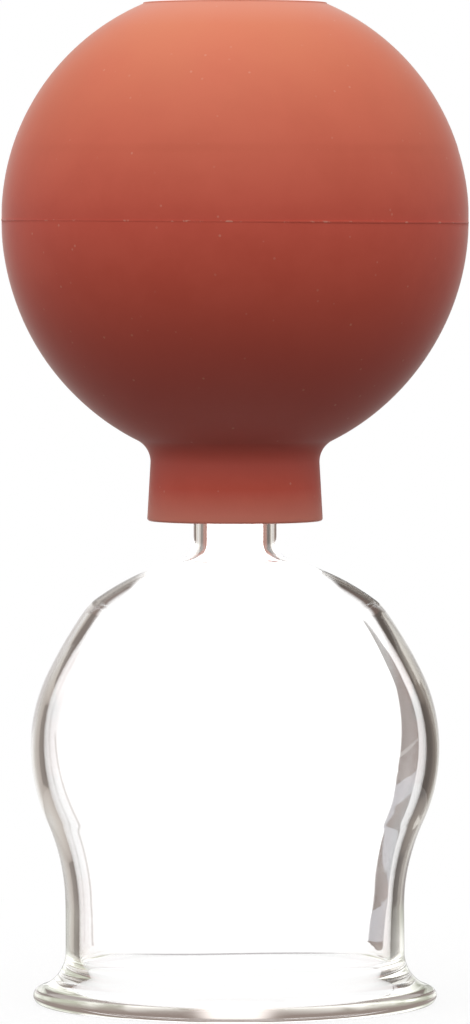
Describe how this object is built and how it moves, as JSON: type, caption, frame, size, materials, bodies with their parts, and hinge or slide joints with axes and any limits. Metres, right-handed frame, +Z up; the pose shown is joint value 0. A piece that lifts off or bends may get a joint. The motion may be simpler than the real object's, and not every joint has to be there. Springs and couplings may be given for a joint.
{
  "type": "cupping glass",
  "caption": "Clear glass cupping bell with a flared rim and a hollow rubber suction ball pushed onto its neck; pressing the ball and letting it spring back draws a vacuum under the rim.",
  "frame": {"origin": "centre of the mouth, in the plane of the flat rim that the glass stands on", "axes": "+Z up the axis from the rim to the rubber ball; the part is round, so X and Y are free"},
  "size_m": [0.055, 0.055, 0.1177],
  "materials": {
    "clear_glass": "clear blown glass, fire-polished rim",
    "red_rubber": "matte moulded terracotta-red rubber"
  },
  "bodies": {
    "glass": {"glass_cup": "clear_glass"},
    "bulb": {"bulb_lower_half": "red_rubber", "bulb_upper_half": "red_rubber"},
    "crown": {"bulb_crown": "red_rubber"}
  },
  "joints": [
    {"name": "bulb_pull_off", "type": "slide", "parent": "glass", "child": "bulb", "axis": [0, 0, 1], "range_m": [0, 0.03]},
    {"name": "bulb_press", "type": "slide", "parent": "bulb", "child": "crown", "axis": [0, 0, -1], "range_m": [0, 0.016], "stiffness_N_per_m": 600, "deforming": ["bulb_upper_half"]}
  ]
}
